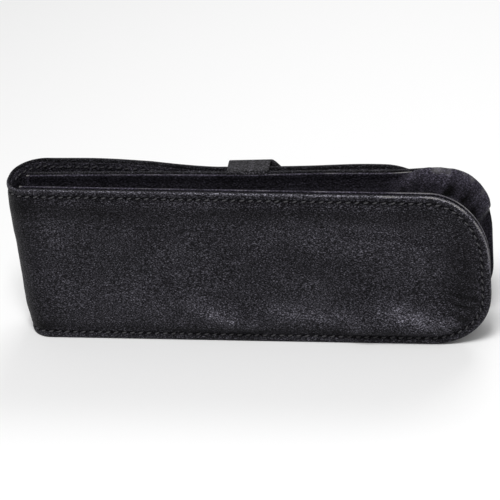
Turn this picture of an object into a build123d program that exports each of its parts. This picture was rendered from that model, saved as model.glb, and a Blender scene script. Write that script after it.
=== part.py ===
from build123d import *
from collections import namedtuple
import math
import os

# Sizes in millimetres. x runs from the fold to the closed end, y from the back face, z upwards.
case_length = 172.0
case_height = 64.5
top_fall = 2.5
mouth_gap = 8.5
closed_end_gap = 15.9

# Sheet thicknesses
leather_thickness = 1.1
board_thickness = 0.6
lining_thickness = 0.6
gusset_thickness = 0.9

# Rounded corners of the panels at the closed end
upper_corner_length = 21.0
upper_corner_height = 27.0
lower_corner_length = 22.0
lower_corner_height = 21.0
front_corner_length = 18.0
front_corner_height = 24.0

# Turned edges, seams and stitches
hem_width = 6.0
edge_round = 0.45
lining_inset = 0.4
board_play = 0.25
seam_width = 3.6
stitch_inset = 2.8
stitch_pitch = 3.1
stitch_length = 2.3
thread_width = 0.6
thread_thickness = 0.3
groove_width = 0.9
groove_depth = 0.4

# Gusset and the walls between the pens
gusset_fold = 5.0
gusset_joint_play = 2.0
divider_count = 2
divider_thickness = 1.0
divider_foot_width = 6.0
divider_setback = 10.5
divider_end_play = 2.5
divider_gap = 0.3

# Fold between the back panel and the flap
near_fold_radius = 8.5
end_wall_width = 2.8
crease_gap = 0.2
joggle_length = 0.6
joggle_play = 0.2
mouth_lead = 2.4

# Flap
flap_end_margin = 16.0
flap_corner_radius = 22.0
flap_slack = 6.0
flap_crest_distance = 18.0
flap_crest_rise = 0.3
flap_rest_lead = 4.0
flap_rest_gap = 0.35
flap_taper_length = 24.0

# Strap that holds the flap down
strap_centre = 86.5
strap_width = 15.0
strap_thickness = 0.9
strap_gap = 0.25
strap_slack = 1.5
strap_tab_length = 4.5
strap_tab_thickness = 0.5
strap_tab_play = 0.1
strap_stitch_inset = 2.2

# Depths behind an outer face, shared by the back panel and the flap
lining_depth = leather_thickness + board_thickness
panel_thickness = lining_depth + lining_thickness
flange_depth = panel_thickness + gusset_thickness

# The same layers of the front panel, counted outwards from its gusset flange
front_board_depth = gusset_thickness + lining_thickness
front_leather_depth = front_board_depth + board_thickness
front_depth = front_leather_depth + leather_thickness

# Front panel, flap and strap: the edges step back so that the strap passes round them
edge_step = strap_thickness + strap_gap
strap_inner_depth = front_depth + flap_rest_gap + panel_thickness + strap_gap + strap_slack
strap_outer_depth = strap_inner_depth + strap_thickness

# The pouch starts just inside the fold and widens towards the closed end
mouth_setback = near_fold_radius - mouth_lead
pouch_length = case_length - mouth_setback
top_slope = top_fall / case_length
front_lean = math.degrees(math.asin((closed_end_gap - mouth_gap) / pouch_length))
lean_slope = math.tan(math.radians(front_lean))
lean_stretch = 1 / math.cos(math.radians(front_lean))
front_origin_y = flange_depth + mouth_gap
waist_inset = seam_width + gusset_fold
waist_inner_inset = waist_inset + gusset_thickness

# Outer face of the flap at the fold, and the bends and creases of the fold
fold_depth = front_origin_y + front_depth * lean_stretch + flap_slack + panel_thickness
far_fold_radius = fold_depth - near_fold_radius - end_wall_width
near_centre = (near_fold_radius, near_fold_radius)
far_centre = (far_fold_radius, fold_depth - far_fold_radius)
stack_start = near_fold_radius + joggle_length + joggle_play
flap_stack_start = far_fold_radius + joggle_length + joggle_play

# Places along the flap
strap_start = strap_centre - strap_width / 2
strap_place = (strap_centre - mouth_setback) * lean_stretch
flap_rest_start = strap_start - flap_rest_lead
flap_reach = case_length - flap_end_margin
reach = 2 * case_length

# Ends of the walls between the pens, the gusset's joints, and the straight part of the fold
divider_start = mouth_setback + divider_setback
divider_end = case_length - waist_inner_inset - divider_end_play
gusset_joint = case_length - upper_corner_length - gusset_joint_play
end_wall_start = near_fold_radius
end_wall_end = near_fold_radius + end_wall_width

# Seams along both sides of the strap
strap_seam_end = edge_step + strap_tab_length
strap_seam_places = (
    strap_place - strap_width / 2 + strap_stitch_inset,
    strap_place + strap_width / 2 - strap_stitch_inset,
)


def leaning_plane(origin_y, degrees):
    """Upright plane through the mouth: x along the pouch, y up, depth towards the far side."""
    along = (math.cos(math.radians(degrees)), math.sin(math.radians(degrees)), 0)
    towards_viewer = (math.sin(math.radians(degrees)), -math.cos(math.radians(degrees)), 0)
    return Plane(origin=(mouth_setback, origin_y, 0), x_dir=along, z_dir=towards_viewer)


back_plane = Plane.XZ
pouch_back_plane = leaning_plane(flange_depth, 0)
middle_plane = leaning_plane((flange_depth + front_origin_y) / 2, front_lean / 2)
front_plane = leaning_plane(front_origin_y, front_lean)

# A panel's edge step, its plane's start along x, and its upper corner
Outline = namedtuple("Outline", "step shift corner_length corner_height")
back_outline = Outline(0.0, 0.0, upper_corner_length, upper_corner_height)
pouch_back_outline = back_outline._replace(shift=mouth_setback)
front_outline = Outline(edge_step, mouth_setback, front_corner_length, front_corner_height)
middle_outline = Outline(
    edge_step / 2,
    mouth_setback,
    (upper_corner_length + front_corner_length) / 2,
    (upper_corner_height + front_corner_height) / 2,
)


def top_at(x):
    """Height of the case at a distance from the fold."""
    return case_height - top_slope * x


def outline_edges(outline, start, end, inset):
    """Edges of a panel, drawn in from its cut edge, with two elliptical corners at its end."""
    low = outline.step + inset
    end = end - inset
    upper = (outline.corner_length - inset, outline.corner_height - inset)
    lower = (lower_corner_length - inset, lower_corner_height - inset)
    start_high = top_at(outline.shift + start) - low
    end_high = top_at(outline.shift + end - upper[0]) - low
    upper_centre = (end - upper[0], end_high - upper[1])
    lower_centre = (end - lower[0], low + lower[1])
    return [
        Line((start, low), (lower_centre[0], low)),
        EllipticalCenterArc(lower_centre, lower[0], lower[1], 270, arc_size=90),
        Line((end, lower_centre[1]), (end, upper_centre[1])),
        EllipticalCenterArc(upper_centre, upper[0], upper[1], 0, arc_size=90),
        Line((upper_centre[0], end_high), (start, start_high)),
        Line((start, start_high), (start, low)),
    ]


def panel_face(outline, start, end, inset=0.0):
    """Face of a panel, drawn in from its cut edge at the top, closed end and bottom."""
    return make_face(outline_edges(outline, start, end, inset))


def open_ring(outline, start, end, outer_inset, inner_inset):
    """Band along the top, closed end and bottom of a panel."""
    outer = panel_face(outline, start, end, outer_inset)
    return outer - panel_face(outline, start - inner_inset, end, inner_inset)


def groove_ring(outline, start, end):
    """Shallow channel that the stitches lie in."""
    outer_inset = stitch_inset - groove_width / 2
    return open_ring(outline, start, end, outer_inset, outer_inset + groove_width)


def layer(plane, face, near, far):
    """Sheet between two depths behind a plane."""
    return extrude(plane.offset(-near) * face, amount=near - far)


def slanted_block(inset):
    """Block as high as the case, drawn in at its level bottom and its sloping top."""
    outline = Polyline(
        (-reach, inset),
        (reach, inset),
        (reach, top_at(reach) - inset),
        (-reach, top_at(-reach) - inset),
        close=True,
    )
    return extrude(Plane.XZ.offset(reach) * make_face(outline), amount=-2 * reach)


def upright(face, inset=0.0):
    """Upright piece over a plan face, as high as the case."""
    return extrude(face, amount=top_at(-reach)) & slanted_block(inset)


def stitches_along(edges, plane, depth):
    """Row of separate stitches that lie along joined edges of a flat panel."""
    path = Wire(edges)
    count = int(path.length / stitch_pitch)
    stitches = []
    for index in range(count):
        distance = (index + 0.5) / count
        point = path.position_at(distance)
        tangent = path.tangent_at(distance)
        turn = math.degrees(math.atan2(tangent.Y, tangent.X))
        mark = Pos(point.X, point.Y) * Rot(0, 0, turn) * Rectangle(stitch_length, thread_width)
        stitches.append(layer(plane, mark, depth, depth + thread_thickness))
    return stitches


def panel_stitches(outline, start, end, plane, depth):
    """Stitches of a panel's seam along its bottom, closed end and top."""
    path = outline_edges(outline, start, end, stitch_inset)[:5]
    return Compound(children=stitches_along(path, plane, depth))


def bend_strip(centre, radius, first_angle, last_angle, near, far):
    """Plan face of part of a bend, between two depths inside its outer radius."""
    outer = CenterArc(centre, radius - near, first_angle, last_angle - first_angle)
    inner = CenterArc(centre, radius - far, first_angle, last_angle - first_angle)
    return make_face([outer, inner, Line(outer @ 0, inner @ 0), Line(outer @ 1, inner @ 1)])


def half_gap_angle(radius):
    """Half of a crease's gap, as an angle at the bend's outer radius."""
    return math.degrees(crease_gap / 2 / radius)


def near_bend(near, far):
    """The back panel's half of the near bend."""
    first = 225 + half_gap_angle(near_fold_radius)
    return bend_strip(near_centre, near_fold_radius, first, 270, near, far)


def far_bend(near, far):
    """The flap's half of the far bend."""
    last = 135 - half_gap_angle(far_fold_radius)
    return bend_strip(far_centre, far_fold_radius, 90, last, near, far)


def make_back_leather():
    """Outer leather of the back panel, with its turned hem and half of the near bend."""
    face = layer(
        back_plane, panel_face(back_outline, near_fold_radius, case_length), 0, leather_thickness
    )
    leather = face + upright(near_bend(0, leather_thickness))

    def is_cut_edge(edge):
        middle = edge @ 0.5
        on_face = abs(middle.Y) < 1e-4 and middle.X > near_fold_radius + 1e-3
        return on_face and middle.X < case_length + 1e-3

    leather = fillet(leather.edges().filter_by(is_cut_edge), edge_round)
    hem = open_ring(back_outline, stack_start, case_length, lining_inset / 2, hem_width)
    groove = groove_ring(back_outline, stack_start, case_length)
    leather = leather + layer(back_plane, hem, leather_thickness, lining_depth)
    return leather - layer(back_plane, groove, 0, groove_depth)


def make_back_board():
    """Stiff board that lies inside the back panel's hem."""
    face = panel_face(back_outline, stack_start, case_length, hem_width + board_play)
    return layer(back_plane, face, leather_thickness, lining_depth)


def make_back_lining():
    """Lining of the back panel, stepped down to the leather beside the near bend."""
    face = panel_face(back_outline, near_fold_radius, case_length, lining_inset)
    flat = layer(back_plane, face, lining_depth, panel_thickness)
    step = Pos(near_fold_radius + joggle_length / 2, (leather_thickness + panel_thickness) / 2)
    joggle = step * Rectangle(joggle_length, panel_thickness - leather_thickness)
    bend = near_bend(leather_thickness, leather_thickness + lining_thickness)
    return flat + upright(joggle, lining_inset) + upright(bend, lining_inset)


def make_back_thread():
    """Stitches of the back panel's seam."""
    depth = groove_depth - thread_thickness
    return panel_stitches(back_outline, stack_start, case_length, back_plane, depth)


def tapering_body(near_plane, near_outline, near_inset, far_plane, far_outline, far_inset, start):
    """Straight-sided body between two panel outlines."""
    near = near_plane * panel_face(near_outline, start, pouch_length, near_inset)
    far = far_plane * panel_face(far_outline, start, pouch_length, far_inset)
    return loft([near, far], ruled=True)


def waisted_body(back, front, side_inset, middle_inset, start):
    """Body of the pouch, drawn in halfway between the two panels."""
    middle = (middle_plane, middle_outline, middle_inset)
    rear_half = tapering_body(back, pouch_back_outline, side_inset, *middle, start)
    return rear_half + tapering_body(front, front_outline, side_inset, *middle, start)


def make_gusset():
    """Folded-in strip that joins the two panels: its bottom run, closed end and top run."""
    back_flange = panel_face(pouch_back_outline, 0, pouch_length, lining_inset)
    front_flange = panel_face(front_outline, 0, pouch_length, lining_inset)
    outside = (
        waisted_body(pouch_back_plane, front_plane, seam_width, waist_inset, 0)
        + layer(pouch_back_plane, back_flange, -gusset_thickness, 0)
        + layer(front_plane, front_flange, 0, gusset_thickness)
    )
    inside = waisted_body(
        pouch_back_plane.offset(gusset_thickness),
        front_plane.offset(-gusset_thickness),
        seam_width + gusset_thickness / 2,
        waist_inner_inset,
        -seam_width,
    )
    strip = outside - inside - make_strap_pockets()
    runs = Pos(gusset_joint - reach / 2, 0, 0) * Box(reach, 2 * reach, 2 * reach)
    lower_half = Pos(0, 0, case_height / 2 - reach) * Box(2 * reach, 2 * reach, 2 * reach)
    return (strip & runs) & lower_half, strip - runs, (strip & runs) - lower_half


def make_strap_pockets():
    """Hollows behind the front flange where the strap's two ends are caught."""
    width = strap_width + 2 * strap_gap
    length = 2 * (strap_tab_length + strap_gap)
    mark = Rectangle(width, length)
    low = Pos(strap_place, edge_step) * mark
    high = Pos(strap_place, top_at(strap_centre) - edge_step) * mark
    near = gusset_thickness - strap_tab_thickness - strap_tab_play
    return layer(front_plane, low + high, near, gusset_thickness)


def front_face(inset):
    """Face of the front panel, drawn in on all sides."""
    return panel_face(front_outline, inset, pouch_length, inset)


def make_front_leather():
    """Outer leather of the front panel with its turned hem."""
    leather = layer(front_plane, front_face(0), front_leather_depth, front_depth)
    outer_plane = front_plane.offset(-front_depth)

    def is_outer_edge(edge):
        return abs(outer_plane.to_local_coords(edge @ 0.5).Z) < 1e-4

    leather = fillet(leather.edges().filter_by(is_outer_edge), edge_round)
    hem = front_face(lining_inset / 2) - front_face(hem_width)
    groove = groove_ring(front_outline, 0, pouch_length)
    leather = leather + layer(front_plane, hem, front_board_depth, front_leather_depth)
    return leather - layer(front_plane, groove, front_depth - groove_depth, front_depth)


def make_front_board():
    """Stiff board of the front panel."""
    face = front_face(hem_width + board_play)
    return layer(front_plane, face, front_board_depth, front_leather_depth)


def make_front_lining():
    """Lining of the front panel."""
    return layer(front_plane, front_face(lining_inset), gusset_thickness, front_board_depth)


def make_front_thread():
    """Stitches of the front panel's seam."""
    depth = front_depth - groove_depth
    return panel_stitches(front_outline, 0, pouch_length, front_plane, depth)


def divider_heights():
    """Heights of the walls that part the pouch into equal slots at its closed end."""
    floor = waist_inner_inset + edge_step / 2
    ceiling = top_at(divider_end) - floor
    slot_height = (ceiling - floor - divider_count * divider_thickness) / (divider_count + 1)
    heights = []
    for index in range(divider_count):
        heights.append(floor + (index + 1) * slot_height + index * divider_thickness)
    return heights


def divider_seam_height(height):
    """Height of the stitches along a divider's foot."""
    return height + (divider_thickness + divider_foot_width) / 2


def make_divider(height):
    """Leather wall on a sewn foot, between two pens."""
    length = divider_end - divider_start
    middle = divider_start + length / 2
    foot = Pos(middle, height + divider_foot_width / 2) * Rectangle(length, divider_foot_width)
    groove = Pos(middle, divider_seam_height(height)) * Rectangle(length, groove_width)
    far_y = front_origin_y + (gusset_thickness - divider_gap) * lean_stretch
    plan = Polyline(
        (divider_start, panel_thickness),
        (divider_end, panel_thickness),
        (divider_end, far_y + lean_slope * (divider_end - mouth_setback)),
        (divider_start, far_y + lean_slope * (divider_start - mouth_setback)),
        close=True,
    )
    wall = extrude(Pos(0, 0, height) * make_face(plan), amount=divider_thickness)
    divider = wall + layer(back_plane, foot, panel_thickness, flange_depth)
    return divider - layer(back_plane, groove, flange_depth - groove_depth, flange_depth)


def make_divider_thread():
    """Stitches along the feet of the dividers."""
    stitches = []
    for height in divider_heights():
        level = divider_seam_height(height)
        path = Line((divider_start, level), (divider_end, level))
        stitches += stitches_along([path], back_plane, flange_depth - groove_depth)
    return Compound(children=stitches)


def flap_curves(depth):
    """Plan curves of the flap past the far bend, at a depth inside its outer face."""
    bend_end = (far_fold_radius, fold_depth - depth)
    crest = (far_fold_radius + flap_crest_distance, fold_depth + flap_crest_rise - depth)
    rest_run = flap_rest_start - mouth_setback
    stack = front_depth + flap_rest_gap + panel_thickness
    rest_y = front_origin_y + stack * lean_stretch + lean_slope * rest_run - depth
    tip_y = rest_y + lean_slope * (flap_reach - flap_rest_start)
    hump = Spline(
        bend_end, crest, (flap_rest_start, rest_y), tangents=[(1, 0), (1, lean_slope)]
    )
    return hump, Line((flap_rest_start, rest_y), (flap_reach, tip_y))


def flap_strip(near, far):
    """Plan face of one of the flap's sheets."""
    outer_hump, outer_rest = flap_curves(near)
    inner_hump, inner_rest = flap_curves(far)
    tip = Line(outer_rest @ 1, inner_rest @ 1)
    root = Line(inner_hump @ 0, outer_hump @ 0)
    return make_face([outer_hump, outer_rest, tip, inner_rest, inner_hump, root])


def flap_edges(inset):
    """Flap's outline seen from the back, narrowed before the strap, with a rounded tip."""
    low = edge_step + inset
    taper_start = flap_rest_start - flap_taper_length
    end = flap_reach - inset
    radius = flap_corner_radius - inset
    corner = end - radius
    high = top_at(corner) - low
    return [
        Line((0, inset), (taper_start, inset)),
        Line((taper_start, inset), (flap_rest_start, low)),
        Line((flap_rest_start, low), (corner, low)),
        CenterArc((corner, low + radius), radius, 270, 90),
        Line((end, low + radius), (end, high - radius)),
        CenterArc((corner, high - radius), radius, 0, 90),
        Line((corner, high), (flap_rest_start, top_at(flap_rest_start) - low)),
        Line(
            (flap_rest_start, top_at(flap_rest_start) - low),
            (taper_start, top_at(taper_start) - inset),
        ),
        Line((taper_start, top_at(taper_start) - inset), (0, top_at(0) - inset)),
    ]


def flap_block(inset, start=0.0):
    """Block with the flap's outline, through the whole depth of the case."""
    edges = flap_edges(inset)
    closing = Line((0, top_at(0) - inset), (0, inset))
    block = extrude(Plane.XZ.offset(reach) * make_face(edges + [closing]), amount=-2 * reach)
    if start > 0:
        block = block & Pos(start + reach / 2, 0, 0) * Box(reach, 2 * reach, 2 * reach)
    return block


def make_flap_leather():
    """Outer leather of the flap, with its turned hem and half of the far bend."""
    sheet = flap_strip(0, leather_thickness) + far_bend(0, leather_thickness)
    hem = flap_block(lining_inset / 2, flap_stack_start) - flap_block(hem_width)
    groove_inset = stitch_inset - groove_width / 2
    groove = flap_block(groove_inset, flap_stack_start) - flap_block(groove_inset + groove_width)
    return (
        (upright(sheet) & flap_block(0))
        + (upright(flap_strip(leather_thickness, lining_depth)) & hem)
        - (upright(flap_strip(-leather_thickness, groove_depth)) & groove)
    )


def make_flap_board():
    """Stiff board of the flap."""
    block = flap_block(hem_width + board_play, flap_stack_start)
    return upright(flap_strip(leather_thickness, lining_depth)) & block


def make_flap_lining():
    """Lining of the flap, stepped down to the leather beside the far bend."""
    step = Pos(far_fold_radius + joggle_length / 2, fold_depth)
    joggle = flap_strip(leather_thickness, panel_thickness) & (
        step * Rectangle(joggle_length, fold_depth)
    )
    bend = far_bend(leather_thickness, leather_thickness + lining_thickness)
    lining = flap_strip(lining_depth, panel_thickness) + joggle + bend
    return upright(lining) & flap_block(lining_inset)


def across(curve, x):
    """Point and direction of a plan curve at a distance from the fold."""
    low, high = 0.0, 1.0
    for _ in range(25):
        middle = (low + high) / 2
        if (curve @ middle).X < x:
            low = middle
        else:
            high = middle
    return curve @ low, curve % low


def make_flap_thread():
    """Stitches along the flap's edges, laid on its curved outer face."""
    hump, rest = flap_curves(groove_depth - thread_thickness)
    path = Wire(flap_edges(stitch_inset))
    count = int(path.length / stitch_pitch)
    stitches = []
    for index in range(count):
        distance = (index + 0.5) / count
        point = path.position_at(distance)
        if point.X < flap_stack_start + stitch_length:
            continue
        tangent = path.tangent_at(distance)
        seat, direction = across(hump if point.X < flap_rest_start else rest, point.X)
        outward = Vector(-direction.Y, direction.X, 0)
        run = (direction * tangent.X + Vector(0, 0, 1) * tangent.Y).normalized()
        place = Plane(origin=(seat.X, seat.Y, point.Y), x_dir=run, z_dir=outward)
        mark = place * Rectangle(stitch_length, thread_width)
        stitches.append(extrude(mark, amount=-thread_thickness))
    return Compound(children=stitches)


def spine_strip(near, far):
    """Plan face of the end wall and the adjoining halves of both bends."""
    near_last = 225 - half_gap_angle(near_fold_radius)
    far_first = 135 + half_gap_angle(far_fold_radius)
    near_half = bend_strip(near_centre, near_fold_radius, 180, near_last, near, far)
    far_half = bend_strip(far_centre, far_fold_radius, far_first, 180, near, far)
    middle = Pos((near + far) / 2, (end_wall_start + end_wall_end) / 2)
    return near_half + middle * Rectangle(far - near, end_wall_width) + far_half


def seam_heights():
    """Heights of the seams along the bottom and top of the end wall."""
    return stitch_inset, case_height - stitch_inset


def make_spine_leather():
    """Outer leather of the end wall and of its halves of the two bends."""
    leather = upright(spine_strip(0, leather_thickness))
    channel = spine_strip(-leather_thickness, groove_depth)
    for height in seam_heights():
        low = height - groove_width / 2
        leather = leather - extrude(Pos(0, 0, low) * channel, amount=groove_width)
    return leather


def make_spine_lining():
    """Lining of the end wall."""
    strip = spine_strip(leather_thickness, leather_thickness + lining_thickness)
    return upright(strip, lining_inset)


def make_spine_thread():
    """Stitches along the bottom and top of the end wall, laid over its bends."""
    depth = groove_depth - thread_thickness
    near_half = CenterArc(near_centre, near_fold_radius - depth, 225, -45)
    far_half = CenterArc(far_centre, far_fold_radius - depth, 180, -45)
    path = Wire([near_half, Line(near_half @ 1, far_half @ 0), far_half])
    count = int(path.length / stitch_pitch)
    stitches = []
    for index in range(count):
        point = path.position_at((index + 0.5) / count)
        run = path.tangent_at((index + 0.5) / count)
        outward = Vector(-run.Y, run.X, 0)
        for height in seam_heights():
            place = Plane(origin=(point.X, point.Y, height), x_dir=run, z_dir=outward)
            mark = place * Rectangle(stitch_length, thread_width)
            stitches.append(extrude(mark, amount=-thread_thickness))
    return Compound(children=stitches)


def make_strap():
    """The strap's outer run with its upper end, and the lower end that the case stands on."""
    height = top_at(strap_centre)
    middle = height / 2
    near = gusset_thickness - strap_tab_thickness
    corner_radius = strap_gap + strap_slack
    outside = Pos((near + strap_outer_depth) / 2, middle) * Rectangle(
        strap_outer_depth - near, height
    )
    hollow = Pos(strap_inner_depth / 2, middle) * Rectangle(
        strap_inner_depth, height - 2 * strap_thickness
    )
    outer_corners = [v for v in outside.vertices() if v.X > strap_inner_depth]
    inner_corners = [v for v in hollow.vertices() if v.X > strap_inner_depth / 2]
    profile = fillet(outer_corners, corner_radius + strap_thickness)
    profile = profile - fillet(inner_corners, corner_radius)
    tab = Rectangle(strap_tab_thickness, 2 * strap_tab_length)
    tab_middle = near + strap_tab_thickness / 2
    low_tab = Pos(tab_middle, edge_step) * tab & outside
    high_tab = Pos(tab_middle, height - edge_step) * tab & outside
    sole = Pos(strap_inner_depth, 0) * Rectangle(2 * strap_outer_depth, 2 * edge_step)
    start = front_plane.origin + front_plane.x_dir * (strap_place - strap_width / 2)
    outwards = Vector(-front_plane.z_dir.X, -front_plane.z_dir.Y, 0)
    plane = Plane(origin=start, x_dir=outwards, z_dir=front_plane.x_dir)
    foot = extrude(plane * ((profile & sole) + low_tab), amount=strap_width)
    band = extrude(plane * ((profile - sole) + high_tab), amount=strap_width)
    seam_marks = [
        Pos(place, middle) * Rectangle(groove_width, height - 2 * strap_seam_end)
        for place in strap_seam_places
    ]
    groove_start = strap_outer_depth - groove_depth
    for mark in seam_marks:
        band = band - layer(front_plane, mark, groove_start, strap_outer_depth)
    return band, foot


def make_strap_thread():
    """Stitches along both sides of the strap."""
    top = top_at(strap_centre) - strap_seam_end
    stitches = []
    for place in strap_seam_places:
        path = Line((place, strap_seam_end), (place, top))
        stitches += stitches_along([path], front_plane, strap_outer_depth - groove_depth)
    return Compound(children=stitches)


strap_band, strap_foot = make_strap()
gusset_bottom, gusset_end, gusset_top = make_gusset()
pieces = {
    "back_leather": make_back_leather(),
    "back_board": make_back_board(),
    "back_lining": make_back_lining(),
    "back_thread": make_back_thread(),
    "gusset_bottom": gusset_bottom,
    "gusset_end": gusset_end,
    "gusset_top": gusset_top,
    "front_leather": make_front_leather(),
    "front_board": make_front_board(),
    "front_lining": make_front_lining(),
    "front_thread": make_front_thread(),
    "divider_thread": make_divider_thread(),
    "spine_leather": make_spine_leather(),
    "spine_lining": make_spine_lining(),
    "spine_thread": make_spine_thread(),
    "flap_leather": make_flap_leather(),
    "flap_board": make_flap_board(),
    "flap_lining": make_flap_lining(),
    "flap_thread": make_flap_thread(),
    "strap_band": strap_band,
    "strap_foot": strap_foot,
    "strap_thread": make_strap_thread(),
}
for index, height in enumerate(divider_heights()):
    pieces[f"divider_{index + 1}"] = make_divider(height)

# The origin is under the middle of the whole case
boxes = [piece.bounding_box() for piece in pieces.values()]
middle_x = (min(box.min.X for box in boxes) + max(box.max.X for box in boxes)) / 2
middle_y = (min(box.min.Y for box in boxes) + max(box.max.Y for box in boxes)) / 2
lowest = min(box.min.Z for box in boxes)
to_origin = Pos(-middle_x, -middle_y, -lowest)

os.makedirs("parts", exist_ok=True)
for name, piece in pieces.items():
    export_step(to_origin * piece, f"parts/{name}.step")
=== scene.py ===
import bpy
import math
import numpy as np
from mathutils import Matrix, Vector, noise


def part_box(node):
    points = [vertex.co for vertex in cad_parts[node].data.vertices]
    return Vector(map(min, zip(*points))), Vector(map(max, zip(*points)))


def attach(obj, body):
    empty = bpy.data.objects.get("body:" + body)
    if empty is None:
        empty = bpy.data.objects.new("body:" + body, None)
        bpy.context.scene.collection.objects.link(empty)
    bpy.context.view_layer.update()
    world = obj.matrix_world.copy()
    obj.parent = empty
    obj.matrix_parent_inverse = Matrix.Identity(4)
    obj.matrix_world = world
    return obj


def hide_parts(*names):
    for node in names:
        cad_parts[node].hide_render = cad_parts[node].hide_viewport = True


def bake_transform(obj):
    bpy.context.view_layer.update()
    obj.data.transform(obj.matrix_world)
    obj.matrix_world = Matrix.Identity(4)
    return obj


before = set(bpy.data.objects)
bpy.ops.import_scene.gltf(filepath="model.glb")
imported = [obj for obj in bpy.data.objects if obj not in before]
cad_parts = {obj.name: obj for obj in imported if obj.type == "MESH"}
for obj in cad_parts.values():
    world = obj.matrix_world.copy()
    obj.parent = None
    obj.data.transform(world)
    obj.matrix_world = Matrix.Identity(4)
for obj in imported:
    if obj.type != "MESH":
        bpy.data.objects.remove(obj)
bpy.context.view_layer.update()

# Lengths are in millimetres from the fold's outer face, the back face and the floor
MM = 0.001
ORIGIN = np.array([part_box("spine_leather")[0][0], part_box("back_leather")[0][1], 0.0])

# The case and its sheets
CASE_LENGTH = 172.0
CASE_HEIGHT = 64.5
TOP_SLOPE = 2.5 / CASE_LENGTH
LEATHER = 1.1
SHEET = 0.6
STACK = LEATHER + SHEET
PANEL = STACK + SHEET
FLANGE = 0.9
STEP = 1.15  # from the back panel's edge in to those of the front panel and the flap's tongue
HEM = 6.25
LINING_INSET = 1.2
LOWER_CORNER = (22.0, 21.0)
BACK_CORNER = (21.0, 27.0)
FRONT_CORNER = (18.0, 24.0)
FRONT_SKIN_CORNER = (19.5, 26.0)
FLAP_CORNER = (22.0, 22.0)

# The mouth and the leaning front panel
MOUTH = 6.1
POUCH_LENGTH = CASE_LENGTH - MOUTH
MOUTH_GAP = 8.5
END_GAP = 15.9
LEAN = math.asin((END_GAP - MOUTH_GAP) / POUCH_LENGTH)
FRONT_Y = 11.7
FRONT_DEPTH = 3.2

# The fold: two bends and the end wall between them
FLAP_SLACK = 6.0
NEAR_RADIUS = 8.5
WALL = 2.8
FOLD_DEPTH = FRONT_Y + FRONT_DEPTH / math.cos(LEAN) + FLAP_SLACK + PANEL
FAR_RADIUS = FOLD_DEPTH - NEAR_RADIUS - WALL
BACK_START = NEAR_RADIUS - NEAR_RADIUS * math.pi / 2 - WALL / 2
FLAP_START = FAR_RADIUS - FAR_RADIUS * math.pi / 2 - WALL / 2

# The strap round the flap
REST_GAP = 0.35
STRAP_CENTRE = 86.5
STRAP_WIDTH = 15.0
STRAP_THICKNESS = 0.9
STRAP_GAP = 0.25
STRAP_SLACK = 2.3
STRAP_INNER = FRONT_DEPTH + REST_GAP + PANEL + STRAP_GAP + STRAP_SLACK
STRAP_BEND = 2.2
STRAP_SEAM_INSET = 2.2
STRAP_SEAM_END = 4.5
STRAP_LIFT = 0.7
STRAP_GROOVE = 0.25
STRAP_SKEW = 3.4
STRAP_FLARE = 1.6
STRAP_TAB = 4.3
STRAP_TAB_DEPTH = 0.65

# The flap: its crest past the far bend, where it narrows, comes to rest and ends, and a soft swell
CREST_DISTANCE = 18.0
CREST_RISE = 0.3
CREST_SLOPE = -0.0169
FLAP_REST = STRAP_CENTRE - STRAP_WIDTH / 2 - 4.0
FLAP_TAPER = FLAP_REST - 24.0
FLAP_END = CASE_LENGTH - 16.0
PAST_END = 40  # how far the flap's curve goes on beyond its tip
SWELL_PLACE = 126.0
SWELL_WIDTH = 15.0
SWELL_HEIGHT = 1.1

# Stitches: they rise above their depth in the groove, and their ends lean aside and dip
STITCH_INSET = 2.8
STITCH_PITCH = 3.1
STITCH_LENGTH = 2.2
STITCH_RADIUS = 0.34
STITCH_FLATNESS = 0.85
STITCH_DEPTH = 0.3
STITCH_RISE = 0.16
STITCH_DIP = 0.6
STITCH_LEAN = 0.34
STITCH_LEAN_CHANGE = 0.12
STITCH_RINGS = 7
STITCH_SIDES = 8

# An outline's ring: points along a long edge, round a corner and across an end
RING_ALONG = 110
RING_CORNER = 16
RING_ACROSS = 26
LEAST_CORNER = 0.8
CORE_INSET = 28.9

# How much lighter or darker than 1 the black leather is: painted shade on the turned edge, painted
# highlight along the rim and painted shade in the stitch groove
TURNED_SHADE = 0.6
EVEN_RIM_HIGHLIGHT = 0.6
RIM_INSET = 0.24
RIM_WIDTH = 0.2
GROOVE_SHADE = 0.65
GROOVE_WIDTH = 0.6


def smooth(value, low, high):
    """0 below low, 1 above high, and an S curve between."""
    t = np.clip((np.asarray(value, float) - low) / (high - low), 0.0, 1.0)
    return t * t * (3 - 2 * t)


def hump(value, centre, width):
    return np.exp(-(((np.asarray(value, float) - centre) / width) ** 2))


def wave(x, z, size, seed):
    """Smooth unevenness between about -1 and 1, with lumps of about the given size."""
    flat_x, flat_z = np.ravel(x), np.ravel(z)
    values = [
        noise.noise(Vector((px / size, pz / size, seed * 7.31))) for px, pz in zip(flat_x, flat_z)
    ]
    return np.array(values).reshape(np.shape(x)) * 2.0


def top_at(x):
    return CASE_HEIGHT - TOP_SLOPE * np.asarray(x, float)


# Plan curves: distance along a sheet and depth behind its outer face give x and y
def back_plan(s, depth):
    s, depth = np.broadcast_arrays(np.asarray(s, float), np.asarray(depth, float))
    bend_start = NEAR_RADIUS - NEAR_RADIUS * math.pi / 2
    angle = 1.5 * math.pi - np.clip((NEAR_RADIUS - s) / NEAR_RADIUS, 0, math.pi / 2)
    radius = NEAR_RADIUS - depth
    x = NEAR_RADIUS + radius * np.cos(angle) + np.maximum(s - NEAR_RADIUS, 0)
    y = NEAR_RADIUS + radius * np.sin(angle) + np.maximum(bend_start - s, 0)
    return x, y


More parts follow.
